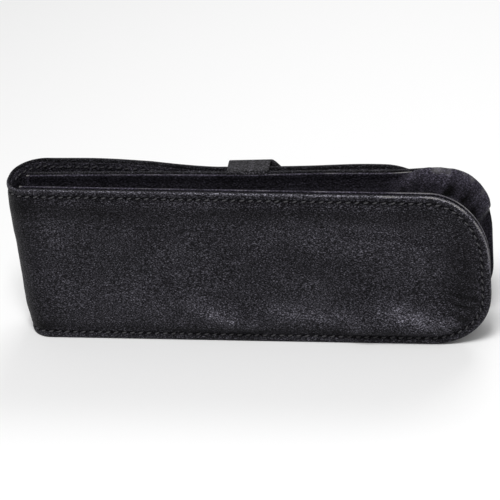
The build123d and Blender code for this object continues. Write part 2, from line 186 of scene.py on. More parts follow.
def flap_height(s):
    """Outer face of the flap past the far bend, and its slope."""
    s = np.asarray(s, float)
    lean = math.tan(LEAN)
    rest_y = FRONT_Y + (FRONT_DEPTH + REST_GAP + PANEL) / math.cos(LEAN)
    rest_y += lean * (FLAP_REST - MOUTH)
    past = FLAP_END + PAST_END
    knots = [
        (FAR_RADIUS, FOLD_DEPTH, 0.0),
        (FAR_RADIUS + CREST_DISTANCE, FOLD_DEPTH + CREST_RISE, CREST_SLOPE),
        (FLAP_REST, rest_y, lean),
        (past, rest_y + lean * (past - FLAP_REST), lean),
    ]
    y = np.full(s.shape, FOLD_DEPTH)
    slope = np.zeros(s.shape)
    for (x0, y0, m0), (x1, y1, m1) in zip(knots, knots[1:]):
        h = x1 - x0
        t = np.clip((s - x0) / h, 0, 1)
        value = (
            (2 * t**3 - 3 * t**2 + 1) * y0
            + (t**3 - 2 * t**2 + t) * h * m0
            + (-2 * t**3 + 3 * t**2) * y1
            + (t**3 - t**2) * h * m1
        )
        rate = (
            (6 * t**2 - 6 * t) * y0 / h
            + (3 * t**2 - 4 * t + 1) * m0
            + (-6 * t**2 + 6 * t) * y1 / h
            + (3 * t**2 - 2 * t) * m1
        )
        inside = (s >= x0) & (s <= x1)
        y = np.where(inside, value, y)
        slope = np.where(inside, rate, slope)
    lift = SWELL_HEIGHT * hump(s, SWELL_PLACE, SWELL_WIDTH)
    return y + lift, slope - 2 * (s - SWELL_PLACE) / SWELL_WIDTH**2 * lift


def flap_plan(s, depth):
    s, depth = np.broadcast_arrays(np.asarray(s, float), np.asarray(depth, float))
    bend_end = FAR_RADIUS - FAR_RADIUS * math.pi / 2
    angle = math.pi / 2 + np.clip((FAR_RADIUS - s) / FAR_RADIUS, 0, math.pi / 2)
    radius = FAR_RADIUS - depth
    bend_x = FAR_RADIUS + radius * np.cos(angle)
    bend_y = FOLD_DEPTH - FAR_RADIUS + radius * np.sin(angle) - np.maximum(bend_end - s, 0)
    y, slope = flap_height(np.maximum(s, FAR_RADIUS))
    length = np.sqrt(1 + slope**2)
    x = np.where(s > FAR_RADIUS, s + depth * slope / length, bend_x)
    return x, np.where(s > FAR_RADIUS, y - depth / length, bend_y)


def front_sway(x, z):
    """The front panel is pressed in a little by the strap and flares at its upper corner."""
    pressed = 0.8 * hump(x, 84.0, 24.0) + 0.4 * hump(x, 133.0, 12.0)
    flared = 1.3 * smooth(x, 136.0, 158.0) * smooth(z, 26.0, 60.0)
    return flared - pressed


def front_plan(s, depth, z=None):
    """s is the distance from the mouth along the leaning plane, depth counts away from the pens."""
    s, depth = np.broadcast_arrays(np.asarray(s, float), np.asarray(depth, float))
    x = MOUTH + s * math.cos(LEAN) - depth * math.sin(LEAN)
    y = FRONT_Y + s * math.sin(LEAN) + depth * math.cos(LEAN)
    if z is not None:
        y = y + front_sway(x, z)
    return x, y


class Outline:
    """A panel's outline along its sheet: straight bottom and top, two elliptical corners at the
    end, and if it is closed a straight side at the start."""

    def __init__(self, start, end, low, high, lower_corner, upper_corner, closed=False):
        self.start, self.end, self.low, self.high = start, end, low, high
        self.lower_corner, self.upper_corner, self.closed = lower_corner, upper_corner, closed

    def ring(self, inset):
        """Points (s, z) from the start of the bottom edge round the end to the start of the top."""
        start = self.start + (inset if self.closed else 0.0)
        end = self.end - inset
        length, height = (max(size - inset, LEAST_CORNER) for size in self.lower_corner)
        top_length, top_height = (max(size - inset, LEAST_CORNER) for size in self.upper_corner)
        low_x, high_x = end - length, end - top_length
        low_z = self.low(low_x) + inset + height
        high_z = self.high(high_x) - inset - top_height
        turn = np.linspace(0, math.pi / 2, RING_CORNER)
        bottom = np.linspace(start, low_x, RING_ALONG, endpoint=False)
        side = np.linspace(low_z, high_z, RING_ACROSS)[1:-1]
        top = np.linspace(high_x, start, RING_ALONG + 1)[1:]
        parts = [
            (bottom, self.low(bottom) + inset),
            (low_x + length * np.sin(turn), low_z - height * np.cos(turn)),
            (np.full(side.shape, end), side),
            (high_x + top_length * np.cos(turn), high_z + top_height * np.sin(turn)),
            (top, self.high(top) - inset),
        ]
        if self.closed:
            low, high = self.low(start) + inset, self.high(start) - inset
            left = np.linspace(high, low, RING_ACROSS)[1:-1]
            parts.append((np.full(left.shape, start), left))
        s, z = (np.concatenate(values) for values in zip(*parts))
        return s, z


def on_floor(s):
    return np.zeros(np.shape(s))


def front_low(s):
    return np.full(np.shape(s), STEP)


def front_high(s):
    return top_at(MOUTH + np.asarray(s, float)) - STEP


def flap_step(s):
    s = np.asarray(s, float)
    return STEP * np.clip((s - FLAP_TAPER) / (FLAP_REST - FLAP_TAPER), 0, 1)


back_outline = Outline(
    BACK_START, CASE_LENGTH, on_floor, lambda s: top_at(back_plan(s, 0)[0]),
    LOWER_CORNER, BACK_CORNER,
)
flap_outline = Outline(
    FLAP_START, FLAP_END, flap_step, lambda s: top_at(flap_plan(s, 0)[0]) - flap_step(s),
    FLAP_CORNER, FLAP_CORNER,
)
pouch_outline = Outline(
    0.0, POUCH_LENGTH, on_floor, lambda s: top_at(MOUTH + np.asarray(s, float)),
    LOWER_CORNER, BACK_CORNER,
)
front_open_outline = Outline(
    0.0, POUCH_LENGTH, front_low, front_high, LOWER_CORNER, FRONT_CORNER
)
front_outline = Outline(
    0.0, POUCH_LENGTH, front_low, front_high, LOWER_CORNER, FRONT_SKIN_CORNER, True
)


# Unevenness of the outer faces, in millimetres outwards; points and insets in millimetres too
LOWER_CORNER_CENTRE = (148.0, 26.0)


def corner_angle(s, z):
    return np.arctan2(z - LOWER_CORNER_CENTRE[1], s - LOWER_CORNER_CENTRE[0])


def crease(s, z, points, width, height):
    """A soft ridge or valley along a line of points."""
    best = np.full(np.shape(s), 1e9)
    for (x0, z0), (x1, z1) in zip(points, points[1:]):
        length = math.hypot(x1 - x0, z1 - z0)
        t = np.clip(((s - x0) * (x1 - x0) + (z - z0) * (z1 - z0)) / length**2, 0, 1)
        best = np.minimum(best, np.hypot(s - x0 - t * (x1 - x0), z - z0 - t * (z1 - z0)))
    return height * np.exp(-((best / width) ** 2))


def back_relief(s, z, inset):
    """A padded middle, folds towards the upper corner, swells along the bottom, a fuller top edge
    and rays in the lower corner."""
    inner = smooth(inset, 4.6, 13.0)
    relief = 0.5 * inner + 0.2 * smooth(inset, 3.3, 5.2)
    relief = relief + inner * (0.22 * wave(s, z, 26.0, 1) + 0.1 * wave(s, z * 1.6, 10.0, 2))
    relief = relief + inner * (
        crease(s, z, [(108, 53), (124, 48), (138, 45), (154, 44)], 1.5, -0.25)
        + crease(s, z, [(112, 48), (128, 44), (146, 41)], 2.0, 0.22)
        + crease(s, z, [(126, 51), (144, 48), (158, 47)], 1.4, 0.2)
        + crease(s, z, [(134, 40), (150, 37), (160, 37)], 1.6, -0.15)
    )
    low = smooth(inset, 3.6, 6.0)
    relief = relief + low * (
        crease(s, z, [(126, 7.0), (140, 6.5), (153, 9.0)], 7.0, 1.9)
        + crease(s, z, [(58, 7.5), (72, 7.0), (84, 8.0)], 6.5, 1.0)
        + crease(s, z, [(84, 7.0), (126, 7.0)], 6.5, 0.5)
    )
    overhang = hump(top_at(s) - z, 5.5, 6.5) * smooth(s, 10.0, 22.0) * smooth(-s, -158.0, -146.0)
    relief = relief + 0.9 * low * overhang
    corner = smooth(s, 144, 156) * smooth(-z, -28, -14) * smooth(inset, 3.6, 6.0)
    turn = corner_angle(s, z) * 22.0 + 0.6 * wave(s, z, 9.0, 8)
    return relief + 0.14 * corner * np.sin(turn)


def back_painted_light(s, z, inset):
    """Painted highlights on its swells, and painted shade below the top edge, at both ends, just
    above the bottom seam and in a fold, with painted rays of light and shade in the lower corner
    and uneven tone.
    """
    painted_light = crease(s, z, [(136, 15.5), (146, 12.0), (156, 8.5)], 4.6, 1.1)
    painted_light += crease(s, z, [(140, 14.5), (151, 10.5)], 2.4, 1.1)
    painted_light += crease(s, z, [(64, 17.0), (71, 13.5), (79, 10.5)], 3.2, 0.8)
    painted_light += crease(s, z, [(72, 9.0), (86, 8.0)], 2.6, 0.4)
    painted_light += crease(s, z, [(96, 14.5), (108, 13.5), (122, 11.0)], 3.6, 0.75)
    painted_light += crease(s, z, [(24, 18.0), (50, 14.0)], 9.0, 0.3)
    painted_light += crease(s, z, [(108, 46.0), (128, 43.0), (146, 40.0)], 5.0, 0.35)
    painted_light += crease(s, z, [(104, 53.5), (122, 50.5), (140, 48.5)], 1.2, 0.4)
    painted_shade = 0.45 * hump(top_at(s) - z, 7.0, 4.5) * smooth(-s, -164.0, -150.0)
    painted_shade += 0.45 * smooth(s, 152.0, 163.0) * smooth(inset, 3.0, 5.0)
    painted_shade += 0.4 * smooth(-s, -16.0, -4.0)
    painted_shade += 0.4 * hump(z, 5.5, 2.0)
    painted_shade += 0.3 * crease(s, z, [(112, 52), (128, 47), (150, 44)], 1.0, 1.0)
    corner = smooth(s, 144, 156) * smooth(-z, -30, -16) * smooth(inset, 3.6, 6.0)
    turn = corner_angle(s, z) * 26.0 + 1.2 * wave(s, z, 7.0, 8)
    painted_rays = 0.45 * corner * np.sin(turn)
    uneven = 1.2 + 0.7 * wave(s, z, 3.2, 12)
    return 0.08 + painted_light * uneven + painted_rays - painted_shade + 0.14 * wave(s, z, 14.0, 9)


def back_rim_highlight(s, z):
    """Painted highlight along the turned edge, stronger along the top and strongest round the upper
    corner.
    """
    corner = 0.25 * smooth(s, 20.0, 110.0) + 0.75 * smooth(s, 124.0, 150.0)
    corner = corner * smooth(z, 26.0, 44.0)
    top = smooth(z, 40.0, 60.0)
    uneven = wave(s, z, 4.0, 10)
    return 0.8 + 0.8 * top + (7.0 + 3.5 * uneven) * corner + 0.8 * uneven * (s > 6.0)


def flap_relief(s, z, inset):
    """A padded middle, pressed flat under the strap."""
    inner = smooth(inset, 4.6, 14.0)
    relief = 0.4 * inner + 0.14 * smooth(inset, 3.3, 5.2)
    relief = relief + inner * (0.16 * wave(s, z, 24.0, 3) + 0.06 * wave(s, z * 1.5, 9.0, 4))
    before = smooth(s, STRAP_CENTRE - 12, STRAP_CENTRE - 7)
    behind = smooth(-s, -STRAP_CENTRE - 12, -STRAP_CENTRE - 7)
    return relief - 0.35 * before * behind * inner


def front_relief(s, z, inset):
    """A padded middle, fuller past the flap's tip."""
    inner = smooth(inset, 4.6, 14.0)
    relief = 0.25 * inner + 0.14 * smooth(inset, 3.3, 5.2)
    relief = relief * (0.3 + 0.7 * smooth(s, 120.0, 140.0))
    return relief + inner * 0.1 * wave(s, z, 22.0, 5)


def nothing(s, z, inset):
    return np.zeros(np.shape(s))


def place(plan, s, z, depth, with_height=False):
    x, y = plan(s, depth, z) if with_height else plan(s, depth)
    return np.stack([x, y, np.broadcast_to(z, np.shape(x))], axis=-1)


def make_object(name, points, faces, material):
    mesh = bpy.data.meshes.new(name)
    mesh.from_pydata((np.asarray(points) * MM + ORIGIN).tolist(), [], faces)
    mesh.validate()
    mesh.update()
    mesh.polygons.foreach_set("use_smooth", [True] * len(mesh.polygons))
    obj = bpy.data.objects.new(name, mesh)
    bpy.context.scene.collection.objects.link(obj)
    obj.data.materials.append(material)
    return obj


# Painted highlight of even strength along the rim
def even_rim_highlight(s, z):
    return np.full(np.shape(s), EVEN_RIM_HIGHLIGHT)


def store_painted_light(obj, values):
    """Keeps the painted light and shade, with some uneven tone, as how much lighter or darker the
    leather is, from -1 up, for its material.
    """
    layer = obj.data.attributes.new("painted_light_and_tone", "FLOAT", "POINT")
    layer.data.foreach_set("value", np.asarray(values, float))


def edge_painted_light(inset, depth, s, z, rim_highlight):
    """Painted highlight along the rim and painted shade in the stitch groove; the turned edge,
    whose depth is a function, gets painted shade.
    """
    if callable(depth):
        return -TURNED_SHADE * (inset < 1.0)
    painted_light = hump(inset, RIM_INSET, RIM_WIDTH) * rim_highlight(s, z)
    return painted_light - GROOVE_SHADE * hump(inset, STITCH_INSET, GROOVE_WIDTH)


def depth_at(depth, s):
    return depth(s) if callable(depth) else np.full(np.shape(s), float(depth))


def grid_faces(rows, count, closed):
    """Quads between rows of count points, also from the last point to the first if closed."""
    faces = []
    for row in range(rows - 1):
        for index in range(count if closed else count - 1):
            a, b = row * count + index, row * count + (index + 1) % count
            faces.append((a, b, b + count, a + count))
    return faces


def middle_strip(outline, count, first, flip):
    """Faces that close the slot inside the innermost ring."""
    faces = []
    total = count - (RING_ACROSS - 2 if outline.closed else 0)
    for index in range(RING_ALONG - 1):
        a, b = first + index, first + index + 1
        c, d = first + total - 2 - index, first + total - 1 - index
        faces.append((a, d, c, b))
    cap = [first + index for index in range(RING_ALONG - 1, total - RING_ALONG + 1)]
    faces.append(tuple(reversed(cap)))
    if outline.closed:
        left = [first + total - 1] + [first + index for index in range(total, count)] + [first]
        faces.append(tuple(reversed(left)))
    if flip:
        faces = [tuple(reversed(face)) for face in faces]
    return faces


def shell(name, outline, plan, profile, relief, material, with_height=False, turn_over=False,
          painted_light_and_tone=nothing, rim_highlight=even_rim_highlight):
    """Sheet whose cut runs along the profile: (inset, depth, share of the relief) from the middle
    of the outer face, round the edge, to the middle of the inner face."""
    points, painted_tone = [], []
    for inset, depth, share in profile:
        s, z = outline.ring(inset)
        insets = np.full(s.shape, inset)
        # Painted light and shade: highlights on swells and rims, shade in the groove and beside the
        # edges
        tone = share * painted_light_and_tone(s, z, insets)
        if material is skin:
            tone = tone + edge_painted_light(inset, depth, s, z, rim_highlight)
        painted_tone.append(tone)
        behind = depth_at(depth, s) - share * relief(s, z, insets)
        points.append(place(plan, s, z, behind, with_height))
    count, rows = len(points[0]), len(points)
    faces = grid_faces(rows, count, outline.closed)
    for row in (0, rows - 1):
        faces += middle_strip(outline, count, row * count, row > 0)
    if not outline.closed:
        first = [row * count for row in range(rows)]
        faces.append(tuple(first + [index + count - 1 for index in reversed(first)]))
    if turn_over:
        faces = [tuple(reversed(face)) for face in faces]
    obj = make_object(name, np.concatenate(points), faces, material)
    store_painted_light(obj, np.concatenate(painted_tone))
    return obj


INNER_INSETS = [
    CORE_INSET, 27.5, 25.0, 22.6, 20.4, 18.3, 16.4, 14.6, 13.0, 11.6, 10.3, 9.1, 8.0, 7.0, 6.2,
]


def leather_profile(thickness):
    """Outer leather with a stitch groove near its edge and a rounded, turned edge."""
    outer = [(inset, 0.0, 1.0) for inset in INNER_INSETS]
    outer += [(5.4, 0.0, 1.0), (4.6, 0.0, 1.0), (3.9, 0.02, 1.0), (3.4, 0.08, 1.0)]
    outer += [(3.2, 0.28, 0.5), (3.05, 0.5, 0.0), (2.55, 0.5, 0.0), (2.4, 0.28, 0.0)]
    outer += [(2.2, 0.07, 0.0), (1.8, 0.0, 0.0), (1.2, -0.04, 0.0), (0.8, 0.0, 0.0)]
    edge = [(0.45, 0.07, 0.0), (0.2, 0.2, 0.0), (0.05, 0.42, 0.0)]
    under = [(0.0, lambda s: thickness(s) / 2), (0.05, lambda s: thickness(s) - 0.42)]
    under += [(0.2, lambda s: thickness(s) - 0.2), (0.45, lambda s: thickness(s) - 0.07)]
    under += [(0.8, thickness), (2.0, thickness), (6.0, thickness), (CORE_INSET, thickness)]
    return outer + edge + [(inset, depth, 0.0) for inset, depth in under]


def sheet_profile(near, far, inset):
    """Thin sheet between two depths, with softened edges."""
    soft = 0.08
    rings = [value for value in INNER_INSETS if value > inset + 1]
    rings.append(inset + 0.3)
    edge = [
        (inset + 0.06, lambda s: depth_at(near, s) + soft, 0.0),
        (inset, lambda s: (depth_at(near, s) + depth_at(far, s)) / 2, 0.0),
        (inset + 0.06, lambda s: depth_at(far, s) - soft, 0.0),
    ]
    outer = [(value, near, 0.0) for value in rings]
    return outer + edge + [(value, far, 0.0) for value in reversed(rings)]


# Materials
def node(tree, kind, **values):
    made = tree.nodes.new(kind)
    for key, value in values.items():
        if key in made.inputs:
            made.inputs[key].default_value = value
        else:
            setattr(made, key, value)
    return made


def feed(tree, value, socket):
    """Links a socket's output, or sets a constant."""
    if isinstance(value, bpy.types.NodeSocket):
        tree.links.new(value, socket)
    else:
        socket.default_value = value


def fed_node(tree, kind, vector, **values):
    made = node(tree, kind, **values)
    tree.links.new(vector, made.inputs["Vector"])
    return made


def combine(tree, operation, first, second):
    made = node(tree, "ShaderNodeMath", operation=operation)
    feed(tree, first, made.inputs[0])
    feed(tree, second, made.inputs[1])
    return made.outputs[0]


def map_range(tree, value, start, end, low=0.0, high=1.0):
    made = node(tree, "ShaderNodeMapRange")
    for key, number in zip(("From Min", "From Max", "To Min", "To Max"), (start, end, low, high)):
        made.inputs[key].default_value = number
    tree.links.new(value, made.inputs["Value"])
    return made.outputs["Result"]


def ramp(tree, value, dark, light, start=0.0, end=1.0):
    made = node(tree, "ShaderNodeValToRGB")
    first, last = made.color_ramp.elements
    first.position, last.position = start, end
    first.color, last.color = (*dark, 1), (*light, 1)
    tree.links.new(value, made.inputs["Fac"])
    return made.outputs["Color"]


# Sockets of the mix node for each kind of data: first and second input, and output
MIX_SOCKETS = {"FLOAT": (2, 3, 0), "VECTOR": (4, 5, 1), "RGBA": (6, 7, 2)}


def mix(tree, kind, factor, first, second, **values):
    made = node(tree, "ShaderNodeMix", data_type=kind, **values)
    first_input, second_input, output = MIX_SOCKETS[kind]
    for value, index in ((factor, 0), (first, first_input), (second, second_input)):
        feed(tree, value, made.inputs[index])
    return made.outputs[output]


def leather(name, dark, light, rough, grain, grain_bump, wrinkle_bump, specular, wear, glints=3.6):
    """Grained leather. A stored attribute of painted light and shade makes it lighter or darker,
    and pale as a painted highlight where it is large.
    """
    material = bpy.data.materials.new(name)
    material.use_nodes = True
    tree = material.node_tree
    tree.nodes.clear()
    shader = node(tree, "ShaderNodeBsdfPrincipled", **{"Specular IOR Level": specular})
    where = node(tree, "ShaderNodeTexCoord").outputs["Object"]

    # Pebbled cells, pores and faint long wrinkles
    warp = fed_node(tree, "ShaderNodeTexNoise", where, Scale=260.0, Detail=2.0)
    bent = mix(tree, "VECTOR", 0.0005, where, warp.outputs["Color"])
    cells = fed_node(tree, "ShaderNodeTexVoronoi", bent, Scale=1000.0 / grain)
    small = fed_node(tree, "ShaderNodeTexVoronoi", bent, Scale=2300.0 / grain)
    pores = fed_node(tree, "ShaderNodeTexNoise", where, Scale=3600.0, Detail=3.0, Roughness=0.6)
    pebble = combine(tree, "MULTIPLY", cells.outputs["Distance"], -1.0)
    between = combine(tree, "MULTIPLY", small.outputs["Distance"], -0.55)
    rough_pores = combine(tree, "MULTIPLY", pores.outputs["Fac"], 0.5)
    height = combine(tree, "ADD", combine(tree, "ADD", pebble, between), rough_pores)
    stretch = fed_node(tree, "ShaderNodeMapping", where, Scale=(70.0, 300.0, 300.0))
    folds = fed_node(tree, "ShaderNodeTexNoise", stretch.outputs["Vector"], Scale=1.0, Detail=3.0,
                     Roughness=0.5, Distortion=0.6)
    fold_bump = node(tree, "ShaderNodeBump", Strength=wrinkle_bump, Distance=0.0007)
    pebble_bump = node(tree, "ShaderNodeBump", Strength=grain_bump, Distance=0.0005)
    tree.links.new(folds.outputs["Fac"], fold_bump.inputs["Height"])
    tree.links.new(height, pebble_bump.inputs["Height"])
    tree.links.new(fold_bump.outputs["Normal"], pebble_bump.inputs["Normal"])
    tree.links.new(pebble_bump.outputs["Normal"], shader.inputs["Normal"])

    # Uneven colour, painted shade between the cells, and fine slanted specks as painted glints,
    # which fade where the painted highlight is strong
    broad = fed_node(tree, "ShaderNodeTexNoise", where, Scale=70.0, Detail=4.0, Roughness=0.55)
    tone = ramp(tree, broad.outputs["Fac"], dark, light, 0.32, 0.7)
    painted_pit_shade = map_range(tree, cells.outputs["Distance"], 0.15, 0.75, 1.5, 0.45)
    slant = fed_node(tree, "ShaderNodeMapping", where, Scale=(0.7, 1.0, 1.35),
                     Rotation=(0.0, math.radians(-35.0), 0.0))
    specks = fed_node(tree, "ShaderNodeTexNoise", slant.outputs["Vector"], Scale=2500.0,
                      Detail=1.0, Roughness=0.6)
    glint = combine(tree, "POWER", map_range(tree, specks.outputs["Fac"], 0.36, 0.69), 2.4)
    glint = combine(tree, "MULTIPLY", glint, glints)
    glint = combine(tree, "ADD", glint, 1.17 - 0.24 * glints)
    # Painted highlights and shade stored on the mesh scale the colour
    painted_tone = node(tree, "ShaderNodeAttribute", attribute_name="painted_light_and_tone").outputs["Fac"]
    highlight_fade = map_range(tree, painted_tone, 3.6, 6.5, 0.0, 0.85)
    spotted = mix(tree, "FLOAT", highlight_fade, combine(tree, "MULTIPLY", painted_pit_shade, glint), 1.1)
    tint = combine(tree, "MULTIPLY", combine(tree, "ADD", painted_tone, 1.0), spotted)
    shaded = mix(tree, "RGBA", 1.0, tone, tint, blend_type="MULTIPLY")

    # Worn corners, and a pale painted highlight on the rims and swells where the painted light is
    # largest
    pointed = node(tree, "ShaderNodeNewGeometry").outputs["Pointiness"]
    edge = map_range(tree, pointed, 0.56, 0.72, 0.0, wear)
    worn_light = (light[0] * 2.6, light[1] * 2.6, light[2] * 2.5, 1)
    worn = mix(tree, "RGBA", edge, shaded, worn_light)
    # Pale painted highlight where the stored painted light is largest
    pale_highlight = map_range(tree, painted_tone, 3.2, 7.0)
    highlighted = mix(tree, "RGBA", pale_highlight, worn, (0.3, 0.293, 0.28, 1))
    tree.links.new(highlighted, shader.inputs["Base Color"])

    gloss = map_range(tree, broad.outputs["Fac"], 0.3, 0.7, rough - 0.05, rough + 0.07)
    tree.links.new(gloss, shader.inputs["Roughness"])
    out = node(tree, "ShaderNodeOutputMaterial")
    tree.links.new(shader.outputs["BSDF"], out.inputs["Surface"])
    return material


def twisted_thread(name, dark, light):
    """Waxed thread with fine strands."""
    material = bpy.data.materials.new(name)
    material.use_nodes = True
    tree = material.node_tree
    shader = tree.nodes["Principled BSDF"]
    shader.inputs["Specular IOR Level"].default_value = 0.25
    where = node(tree, "ShaderNodeTexCoord").outputs["Object"]
    strands = fed_node(tree, "ShaderNodeTexWave", where, Scale=1400.0, Distortion=1.5, Detail=2.0,
                       bands_direction="DIAGONAL").outputs["Fac"]
    tree.links.new(ramp(tree, strands, dark, light), shader.inputs["Base Color"])
    bump = node(tree, "ShaderNodeBump", Strength=0.5, Distance=0.00008)
    tree.links.new(strands, bump.inputs["Height"])
    tree.links.new(bump.outputs["Normal"], shader.inputs["Normal"])
    gloss = map_range(tree, strands, 0.0, 1.0, 0.42, 0.6)
    tree.links.new(gloss, shader.inputs["Roughness"])
    return material


skin = leather(
    "black_leather", (0.0375, 0.0361, 0.0434), (0.0495, 0.0477, 0.0568), rough=0.36, grain=0.6,
    grain_bump=1.0, wrinkle_bump=0.35, specular=0.04, wear=0.4,
)
# The gusset's black leather painted darker, as painted shade in its folded-in recess
shaded_gusset_skin = leather(
    "shaded_gusset_leather", (0.009, 0.0082, 0.0114), (0.0165, 0.0152, 0.0205), rough=0.42, grain=0.7,
    grain_bump=0.8, wrinkle_bump=0.4, specular=0.04, wear=0.35, glints=2.0,
)
inner_skin = leather(
    "lining_leather", (0.0195, 0.0184, 0.0235), (0.032, 0.0302, 0.038), rough=0.42, grain=0.8,
    grain_bump=0.8, wrinkle_bump=0.25, specular=0.05, wear=0.4,
)
strap_skin = leather(
    "strap_leather", (0.0232, 0.0222, 0.0262), (0.0385, 0.0368, 0.0425), rough=0.36, grain=0.7,
    grain_bump=0.9, wrinkle_bump=0.3, specular=0.06, wear=0.5,
)
board_skin = leather(
    "board_fibre", (0.05, 0.04, 0.03), (0.09, 0.075, 0.055), rough=0.85, grain=0.5,
    grain_bump=0.6, wrinkle_bump=0.1, specular=0.2, wear=0.2,
)
thread = twisted_thread("black_thread", (0.02, 0.0195, 0.023), (0.095, 0.093, 0.1))
inner_thread = twisted_thread("inner_thread", (0.018, 0.0175, 0.0205), (0.052, 0.0505, 0.056))


def dress(name, material):
    """Gives a carried-over node its material."""
    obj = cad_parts[name]
    obj.data.materials.clear()
    obj.data.materials.append(material)


# Back panel with the near half of the fold; beyond the bend a board thickens it
BOARD_START = 0.8


def back_thickness(s):
    return LEATHER + SHEET * smooth(s, NEAR_RADIUS, NEAR_RADIUS + BOARD_START)


back_skin = shell("back_skin", back_outline, back_plan, leather_profile(back_thickness),
                  back_relief, skin, painted_light_and_tone=back_painted_light, rim_highlight=back_rim_highlight)
back_inner = shell(
    "back_inner", back_outline, back_plan,
    sheet_profile(back_thickness, lambda s: back_thickness(s) + SHEET, LINING_INSET), nothing,
    inner_skin,
)


# Flap with the far half of the fold
def flap_thickness(s):
    return LEATHER + SHEET * smooth(s, FAR_RADIUS, FAR_RADIUS + BOARD_START)


flap_skin = shell("flap_skin", flap_outline, flap_plan, leather_profile(flap_thickness),
                  flap_relief, skin, turn_over=True)
flap_inner = shell(
    "flap_inner", flap_outline, flap_plan,
    sheet_profile(flap_thickness, lambda s: flap_thickness(s) + SHEET, LINING_INSET), nothing,
    inner_skin, turn_over=True,
)


# Front panel, counted from its outer face inwards
def front_face_plan(s, depth, z):
    return front_plan(s, FRONT_DEPTH - np.asarray(depth, float), z)


front_skin = shell(
    "front_skin", front_outline, front_face_plan,
    leather_profile(lambda s: np.full(np.shape(s), STACK)), front_relief, skin, True, True,
)
front_inner = shell(
    "front_inner", front_outline, front_face_plan, sheet_profile(STACK, PANEL, LINING_INSET),
    nothing, inner_skin, True, True,
)


# Boards inside the hems of the three panels
BOARD_PLAY = 0.03


def make_board(name, start, outline, plan, with_height=False, turn_over=False):
    board_outline = Outline(start, outline.end, outline.low, outline.high, outline.lower_corner,
                            outline.upper_corner, True)
    profile = sheet_profile(LEATHER + BOARD_PLAY, STACK - BOARD_PLAY, HEM)
    return shell(name, board_outline, plan, profile, nothing, board_skin, with_height, turn_over)


back_core = make_board("back_core", NEAR_RADIUS, back_outline, back_plan)
flap_core = make_board("flap_core", FAR_RADIUS, flap_outline, flap_plan, turn_over=True)
front_core = make_board("front_core", 0.0, front_outline, front_face_plan, True, True)


# Gusset: flange, folded-in wall and flange, sewn round three sides
def gusset_point(share, offset, inset):
    """Ring of the gusset at a share of the way from the back panel to the front panel."""
    s, z = pouch_outline.ring(inset)
    near = np.stack([MOUTH + s, np.full(s.shape, PANEL + FLANGE), z], axis=-1)
    fs, fz = front_open_outline.ring(inset)
    fx, fy = front_plan(fs, 0.0, fz)
    far = np.stack([fx, fy, fz], axis=-1)
    point = near * (1 - share) + far * share
    point[:, 1] += offset
    return point


def gusset_profile():
    """(share of the way to the front panel, offset along y, inset) across the outside and back."""
    outside = [(0.0, -0.88, 0.4), (0.0, -0.72, 0.04), (0.0, -0.45, -0.03), (0.0, -0.16, 0.04)]
    outside += [(0.0, 0.0, 0.4)]
    outside += [(0.0, 0.0, 1.6), (0.0, 0.0, 2.6), (0.0, 0.06, 3.3), (0.02, 0.1, 3.9)]
    outside += [(0.06, 0.05, 4.6), (0.1, 0.05, 5.5), (0.16, 0.05, 6.4), (0.24, 0.05, 7.2)]
    outside += [(0.34, 0.03, 7.9), (0.43, 0.0, 8.4), (0.5, 0.0, 8.6), (0.6, 0.0, 8.6)]
    outside += [(0.7, 0.0, 8.4), (0.8, -0.03, 7.9), (0.87, -0.05, 7.2), (0.91, -0.05, 6.4)]
    outside += [(0.94, -0.05, 5.5), (0.96, -0.05, 4.6)]
    outside += [(0.98, -0.1, 3.9), (1.0, -0.06, 3.3), (1.0, 0.0, 2.6), (1.0, 0.0, 1.6)]
    outside += [(1.0, 0.0, 0.4), (1.0, 0.16, 0.04), (1.0, 0.45, -0.03), (1.0, 0.72, 0.04)]
    outside += [(1.0, 0.88, 0.4)]
    inside = [(1.0, 0.9, 4.2), (1.0, -0.2, 4.9), (0.8, 0.0, 6.6), (0.5, 0.0, 9.5)]
    inside += [(0.2, 0.0, 6.6), (0.0, 0.2, 4.9), (0.0, -0.9, 4.2)]
    return outside, inside


# Inset of the gusset across its width where it swells out at the upper corner
OUTER_FLANGE_SWELL = -0.8
SWELL_SHARES = [0.0, 0.12, 0.3, 0.5, 0.68, 0.85, 0.95, 1.0]
SWELL_INSETS = [3.9, 6.8, 7.2, 4.6, 0.4, -2.2, -2.0, 0.2]


def gusset_swell(share, offset, inset):
    """How much farther in than its inset the outside of the gusset lies at the upper corner."""
    if share <= 0.0:
        return 0.0
    if share >= 1.0:
        return OUTER_FLANGE_SWELL if offset < 0.1 else 0.0
    return float(np.interp(share, SWELL_SHARES, SWELL_INSETS)) - inset


def running_wave(along, across, size, seed):
    """Unevenness along the gusset; across sets one ring's apart from another's."""
    return wave(along, np.full(along.shape, across), size, seed)


def gusset_painted_light(share, inset, along, upper):
    """Painted highlights on the cut edges, on the swell with its fine ridges and on the fold,
    painted shade nearer the back panel, and lighter at the mouth's end.
    """
    lip_highlight = hump(inset, 0.0, 0.22) * (3.3 + 2.2 * upper + 0.9 * running_wave(along, 0.0, 7.0, 13))
    ridges = running_wave(along, 2.0 * share, 1.6, 14) + 0.6 * running_wave(along, share, 4.0, 15)
    swell_light = 3.1 * smooth(share, 0.55, 0.8) + 1.1 * ridges * smooth(share, 0.3, 0.6)
    swell_light += hump(share, 0.43, 0.04)
    swell_light -= 0.65 * smooth(-share, -0.66, -0.4)
    mouth_end = 3.0 * hump(along, along[-1], 0.7)
    return lip_highlight + upper * swell_light + mouth_end


def inward_directions(ring, centre, straight):
    """Towards the centre round the corners, and up or down along the straight edges."""
    direction = centre - ring
    direction[:, 1] = 0
    vertical = np.zeros_like(direction)
    vertical[:, 2] = np.sign(direction[:, 2])
    length = np.linalg.norm(direction, axis=1, keepdims=True)
    inward = direction / length * (1 - straight[:, None]) + vertical * straight[:, None]
    inward[:, 0] *= 1 - straight * smooth(-ring[:, 0], -150, -130)
    return inward


